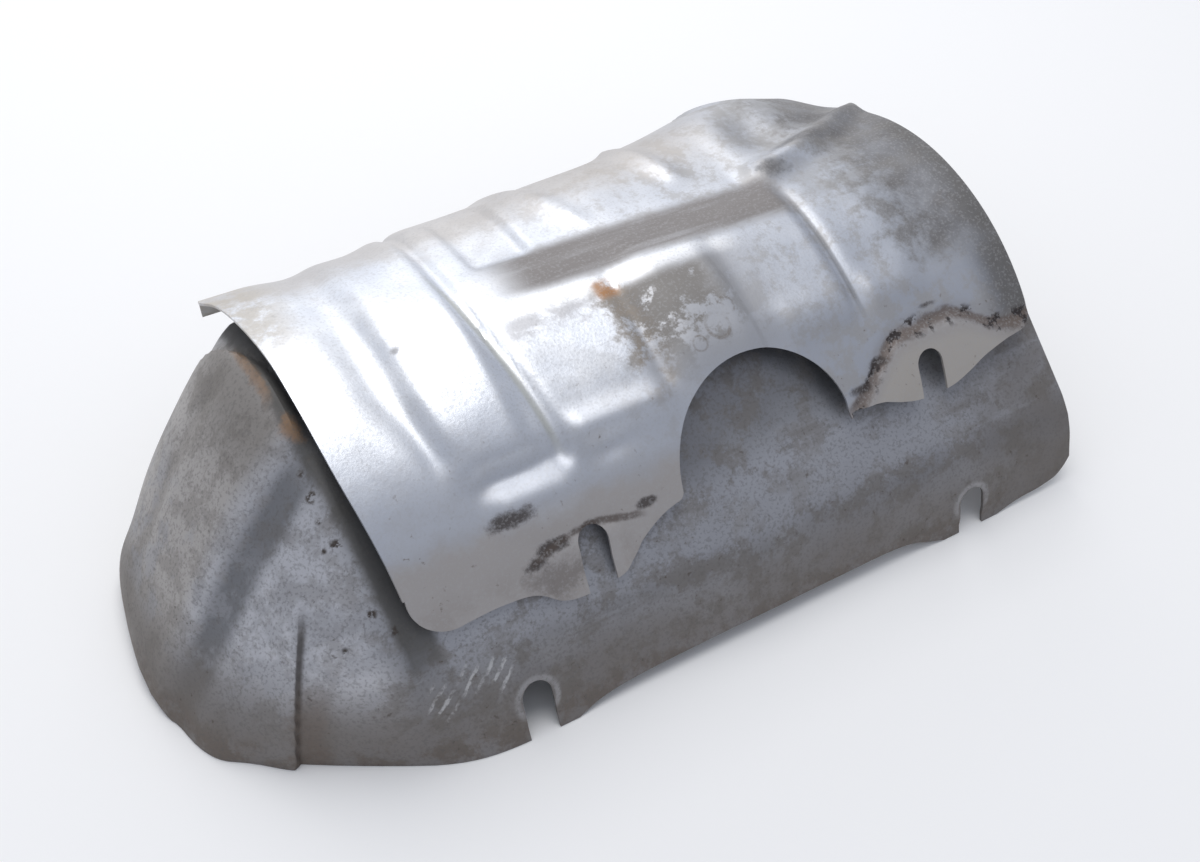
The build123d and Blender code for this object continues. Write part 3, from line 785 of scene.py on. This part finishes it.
    def marks(self) -> None:
        """Soot in the pad creases, drip rings on the panel, specks and fine grain."""
        x, t, ragged = self.x, self.t, self.ragged
        for at, angle, wide, high in self.EAR_MARKS:
            self.coat(self.patch(x, t, (at, angle), (wide, high), ragged) * 0.9, self.SOOT, 1.0)
        rim = t - 32.6 + (x + 30.0) * (x + 30.0) * 0.006
        line = (rim + ragged * 2.4 - 1.2).band(-1.3, -0.4, 0.2, 1.1) * x.band(-58, -52, -14, -6)
        self.coat(line * self.blotch.ramp(0.36, 0.5) * 0.8, (0.09, 0.07, 0.06), 1.0)
        self.coat(self.patch(x, t, (-46, 24), (13, 4.5), ragged) * 0.55, (0.16, 0.14, 0.13), 1.0)
        for at, angle, radius in self.DRIP_RINGS:
            away = ((x - at) * (x - at) + (t - angle) * (t - angle) * 2.7).math("SQRT") / radius
            ring = away.band(0.72, 0.88, 0.96, 1.12) * ragged.ramp(0.36, 0.52)
            self.coat(ring * 0.55, (0.22, 0.19, 0.165), 0.8)
        self.coat(self.patch(x, t, (-70.5, 82), (2.2, 1.2), ragged) * 0.6, (0.2, 0.19, 0.19), 1.0)
        self.coat(self.specks * ragged.ramp(0.46, 0.64) * (t.ramp(70, 40) * 0.7 + 0.2),
                  (0.20, 0.175, 0.16), 1.0)
        self.coat(self.fine.ramp(0.50, 0.66) * 0.28, (0.42, 0.42, 0.43), 0.5)

    def dress(self) -> bpy.types.Material:
        """Lays all the layers and returns the material."""
        for layer in (self.bare, self.creases, self.crown_stain, self.panel_dirt, self.right_end_dirt_and_bead_shadows,
                      self.foot, self.marks):
            layer()
        self.done(self.cloud * 0.14 + 0.30 + self.fine * 0.06, 0.95)
        self.relief(self.fine * 0.25 + self.noise(16, 3) * 7.0 + self.blotch * 0.9, 0.16)
        return self.material


class LowerMetal(Metal):
    """The same steel on the lower shell, less shiny and painted darker, partly as dirt and partly as shade:
    warm on the lobe, brown at the rim.
    """

    NAME = "lower_aluminised"
    # Darker than the upper's bare steel: partly dirt, partly painted shade.
    BARE = (0.215, 0.218, 0.235)
    BRIGHT = (0.30, 0.305, 0.325)
    RUST = (0.27, 0.16, 0.085)
    SOOT = (0.055, 0.045, 0.04)
    # x, y, z and radius of the pits scattered beside the collar
    PITS = ((-125, -80, 51, 2.0), (-108, -84, 56, 2.2), (-113, -78, 62, 1.8), (-116, -59, 80, 2.2),
            (-118, -51, 85, 1.6), (-117, -44, 90, 2.0), (-120, -58, 78, 1.4), (-117, -35, 93, 1.6))
    # x, z, half length and half height
    SCRAPES = ((-99, 25, 6.0, 8.0), (-88, 31, 5.0, 6.0), (-77, 29, 5.0, 8.0))

    def __init__(self, size: Shield) -> None:
        super().__init__(self.NAME, size.middle_x)
        self.size = size
        self.fine, self.cloud = self.noise(800, 2), self.noise(20, 5, 0.6, shift=1.7)
        self.blotch, self.ragged = self.noise(70, 5, 0.65, shift=5.2), self.noise(75, 5, 0.75, shift=2.9)
        self.streak = self.noise(60, 5, 0.6, stretch=(0.12, 1.5, 1.5), shift=4.4)
        self.specks = self.noise(400, 3, 0.5, shift=5.3).ramp(0.64, 0.72)
        self.pits = self.noise(300, 4, 0.6, shift=7.7)
        self.dome = self.x.ramp(-106, -122)

    def bare(self) -> None:
        """The plain metal, painted lighter over the dome, less so low down."""
        self.paint(self.mix(self.cloud.ramp(0.35, 0.7), self.BARE, self.BRIGHT))
        dome_lighter = self.dome * (self.cloud * 0.5 + 0.6) * (1.0 - self.z.ramp(40, 5) * 0.6)
        self.coat(dome_lighter, (0.56, 0.565, 0.60), 0.25)

    def lobe_and_valley(self) -> None:
        """Warm grey on the lobe, painted shade in the valley and along the lobe's fold, a painted highlight
        along the shoulder.
        """
        x, y, z, dome, ragged = self.x, self.y, self.z, self.dome, self.ragged
        across = y + 21.5 + (-110.0 - x) * 0.17
        lobe = dome * across.ramp(-8, 6)
        self.coat(lobe * 0.8, (0.40, 0.375, 0.35), 0.6)
        self.coat(lobe * (z + ragged * 20.0 - 10.0).ramp(78, 98) * 0.7, (0.20, 0.185, 0.17), 0.8)
        # Painted shade on the valley's wall, where the proud lobe steps down.
        valley = (across + ragged * 8.0 - 4.0).band(-25, -17, -11, -3)
        self.coat(dome * valley * 0.85, (0.135, 0.14, 0.152), 0.5)
        self.coat(dome * z.ramp(44, 14) * 0.6, (0.17, 0.165, 0.16), 0.6)
        # Painted highlight: the bluish reflection along the shoulder.
        shoulder = z.band(32, 42, 52, 64) * x.ramp(-104, -92)
        self.coat(shoulder * (self.cloud * 0.6 + 0.3), (0.42, 0.43, 0.47), 0.2)
        # Painted shade along the fold on the lobe.
        groove = (y - 12.0 - (x + 140.0) * 0.2).band(-5, -1.5, 1.5, 6)
        self.coat(dome * groove * x.ramp(-118, -132) * 0.45, (0.22, 0.205, 0.19), 0.6)

    def brown_dirt_and_low_shade(self) -> None:
        """Dirt and painted shade that thicken toward the rim, dirt toward the open end, and light streaks on
        the flank.
        """
        z, blotch, ragged = self.z, self.blotch, self.ragged
        # Partly dirt, partly painted shade: darker toward the rim, where the skirt faces away from the light.
        self.coat(z.ramp(46, 12) * (blotch * 0.7 + 0.35), (0.195, 0.175, 0.16), 0.8)
        self.coat(z.ramp(16, 4) * ragged.ramp(0.40, 0.60) * 0.7, (0.15, 0.115, 0.09), 1.0)
        self.coat(self.x.ramp(110, 178) * (blotch * 0.9 + 0.2), (0.165, 0.15, 0.14), 0.9)
        self.coat(ragged.ramp(0.46, 0.60) * (0.6 - self.dome * 0.25), (0.155, 0.14, 0.125), 0.8)
        light = (self.streak + self.cloud * 0.5).ramp(0.72, 0.86) * z.band(20, 34, 60, 76)
        self.coat(light * 0.5, (0.33, 0.335, 0.36), 0.1)

    def beside_collar(self) -> None:
        """Painted shadow under the collar's edge, with rust along its ridge."""
        x, y, ragged = self.x, self.y, self.ragged
        edge = x + 110.9 - y * y * 0.00102
        # Painted shadow of the upper shell's edge on the lower shell.
        collar_shadow = (edge + ragged * 4.0 - 2.0).band(-7.5, -3.5, 6, 10) * self.z.ramp(34, 52)
        self.coat(collar_shadow * 0.85, (0.075, 0.073, 0.07), 0.9)
        ridge = (edge + ragged * 7.0 - 3.5).band(-9, -6.5, -5, -3) * y.band(-14, -4, 22, 34)
        self.coat(ridge * 0.55, self.RUST, 1.0)
        self.coat(self.patch(x, y, (-114.5, -22), (4, 6), ragged) * 0.7, self.RUST, 1.0)

    def pleat(self) -> None:
        """The dark line of the pleat and the brown dirt caught at its foot."""
        y, z = self.y, self.z
        past = self.x + 150.5 - z * 0.10 - z * z * 0.0028
        fold = y.ramp(-20, -40) * z.ramp(64, 50)
        self.coat(past.band(-0.6, 0.4, 1.8, 3.4) * fold * 0.85, (0.07, 0.062, 0.058), 0.8)
        caught = (past + self.ragged * 10.0 - 5.0).band(-4, 2, 7, 14) * z.ramp(44, 22)
        self.coat(caught * fold * 0.6, (0.16, 0.125, 0.10), 1.0)

    def marks(self) -> None:
        """Pits, specks, scrapes left of the first slot, painted highlight rings on the seats and fine grain.
        """
        x, y, z, ragged = self.x, self.y, self.z, self.ragged
        for *centre, radius in self.PITS:
            self.coat(self.ball(tuple(centre), radius, ragged) * self.pits.ramp(0.46, 0.54), self.SOOT, 1.0)
        speckled = self.specks * ragged.ramp(0.44, 0.62) * (z.ramp(90, 30) * 0.5 + 0.3)
        self.coat(speckled, (0.10, 0.08, 0.07), 1.0)
        strokes = ((x - z * 0.9) * 1.1 + ragged * 7.0).math("SINE").ramp(0.3, 0.9)
        strokes = strokes * self.pits.ramp(0.34, 0.50) * y.ramp(-80, -90)
        for at, high, wide, tall in self.SCRAPES:
            spot = self.patch(x, z, (at, high), (wide, tall), ragged)
            self.coat(strokes * spot * 0.65, (0.58, 0.58, 0.59), 0.3)
        # Painted highlight rings on the raised seats round the slots.
        for middle, top in self.size.lower_slots:
            ring = ((x - middle) * (x - middle) + (z - (top - 7)) * (z - (top - 7))).math("SQRT")
            seat_highlight = ring.band(6.4, 7.4, 8.2, 10.0) * z.ramp(6, 12) * ragged.ramp(0.3, 0.6)
            self.coat(seat_highlight * 0.45, (0.50, 0.50, 0.52), 0.0)
        self.coat(self.fine.ramp(0.50, 0.66) * 0.35, (0.13, 0.125, 0.12), 0.7)

    def dress(self) -> bpy.types.Material:
        """Lays all the layers and returns the material."""
        for layer in (self.bare, self.lobe_and_valley, self.brown_dirt_and_low_shade, self.beside_collar, self.pleat,
                      self.marks):
            layer()
        self.done(self.cloud * 0.16 + 0.36 + self.fine * 0.06, 0.85)
        self.relief(self.fine * 0.3 + self.noise(15, 3) * 7.0 + self.blotch * 1.1, 0.16)
        return self.material


@dataclass
class Studio:
    """Camera at the photograph's angle, soft lights and the pale floor."""

    eye: tuple[float, float, float] = (-209.05, -367.8, 474.7)
    azimuth: float = 32.158
    elevation: float = 47.076
    roll: float = 2.247
    focal_px: float = 1500.0
    image: tuple[int, int] = (1200, 862)
    lights: list[bpy.types.Object] = field(default_factory=list)

    def camera(self) -> bpy.types.Object:
        """The photograph's camera."""
        a, e, r = (math.radians(v) for v in (self.azimuth, self.elevation, self.roll))
        look = Vector((math.sin(a) * math.cos(e), math.cos(a) * math.cos(e), -math.sin(e)))
        right0 = Vector((math.cos(a), -math.sin(a), 0))
        up0 = right0.cross(look)
        right = right0 * math.cos(r) + up0 * math.sin(r)
        up = up0 * math.cos(r) - right0 * math.sin(r)
        data = bpy.data.cameras.new("camera")
        data.sensor_width = 36.0
        data.lens = self.focal_px / self.image[0] * 36.0
        data.clip_start, data.clip_end = 0.01, 20.0
        obj = bpy.data.objects.new("camera", data)
        turn = Matrix((right, up, -look)).transposed().to_4x4()
        obj.matrix_world = Matrix.Translation(Vector(self.eye) * MM) @ turn
        bpy.context.scene.collection.objects.link(obj)
        bpy.context.scene.camera = obj
        return obj

    def area(self, name: str, place: tuple[float, float, float], size: float, power: float,
             colour: tuple[float, float, float] = (1, 1, 1), aim: tuple[float, float, float] = (0, 0, 0.04),
             height: float | None = None) -> None:
        """Soft box that faces aim; lengths in metres."""
        data = bpy.data.lights.new(name, "AREA")
        data.energy, data.color, data.size = power, colour, size
        if height is not None:
            data.shape, data.size_y = "RECTANGLE", height
        obj = bpy.data.objects.new(name, data)
        obj.location = place
        obj.rotation_mode = "QUATERNION"
        obj.rotation_quaternion = (Vector(aim) - Vector(place)).to_track_quat("-Z", "Y")
        bpy.context.scene.collection.objects.link(obj)
        self.lights.append(obj)

    def floor(self) -> bpy.types.Object:
        """Pale plain floor under the part."""
        obj = MeshKit.add("floor", np.array([(-4000, -4000, -0.3), (4000, -4000, -0.3), (4000, 4000, -0.3),
                                             (-4000, 4000, -0.3)], float), [(0, 1, 2, 3)])
        paint = bpy.data.materials.new("floor_paint")
        paint.use_nodes = True
        shader = paint.node_tree.nodes["Principled BSDF"]
        shader.inputs["Base Color"].default_value = (0.90, 0.90, 0.90, 1)
        shader.inputs["Roughness"].default_value = 0.9
        shader.inputs["Specular IOR Level"].default_value = 0.2
        obj.data.materials.append(paint)
        obj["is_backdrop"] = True
        return obj

    def build(self) -> None:
        """Camera, world, lights and floor."""
        self.camera()
        world = bpy.data.worlds.new("studio")
        world.use_nodes = True
        world.node_tree.nodes["Background"].inputs["Color"].default_value = (0.86, 0.90, 1.0, 1)
        world.node_tree.nodes["Background"].inputs["Strength"].default_value = 0.58
        bpy.context.scene.world = world
        self.area("overhead", (0.10, 0.42, 1.30), 0.75, 11.5, (1.0, 0.985, 0.955), (0.05, 0.1, 0.0), 1.5)
        self.area("behind", (0.35, 1.85, 0.75), 2.8, 8.5, (1.0, 0.99, 0.97), (0.0, 0.0, 0.1), 1.2)
        self.floor()
        view = bpy.context.scene.view_settings
        view.view_transform, view.look = "Standard", "None"
        view.exposure, view.gamma = 0.0, 1.0


def corners(box: tuple[Vector, Vector]) -> list[list[float]]:
    """A box as plain lists."""
    return [[float(v) for v in corner] for corner in box]


def main() -> None:
    """Builds the scene."""
    logging.basicConfig(level=logging.INFO, format="%(message)s")
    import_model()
    cad_box = corners(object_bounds())
    size = Shield()
    for build, node, metal in ((UpperShell(size).build, "upper_shell", UpperMetal),
                                (LowerShell(size).build, "lower_shell", LowerMetal)):
        skin = build()
        skin.data.transform(Matrix.Translation((-size.middle_x * MM, 0, 0)))
        MeshKit.smooth(skin, 38)
        skin.data.materials.clear()
        skin.data.materials.append(metal(size).dress())
        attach(skin, "root")
        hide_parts(node)
    Studio().build()
    bpy.context.view_layer.update()
    {"cad": cad_box, "visual": corners(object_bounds())}


if __name__ == "__main__":
    main()
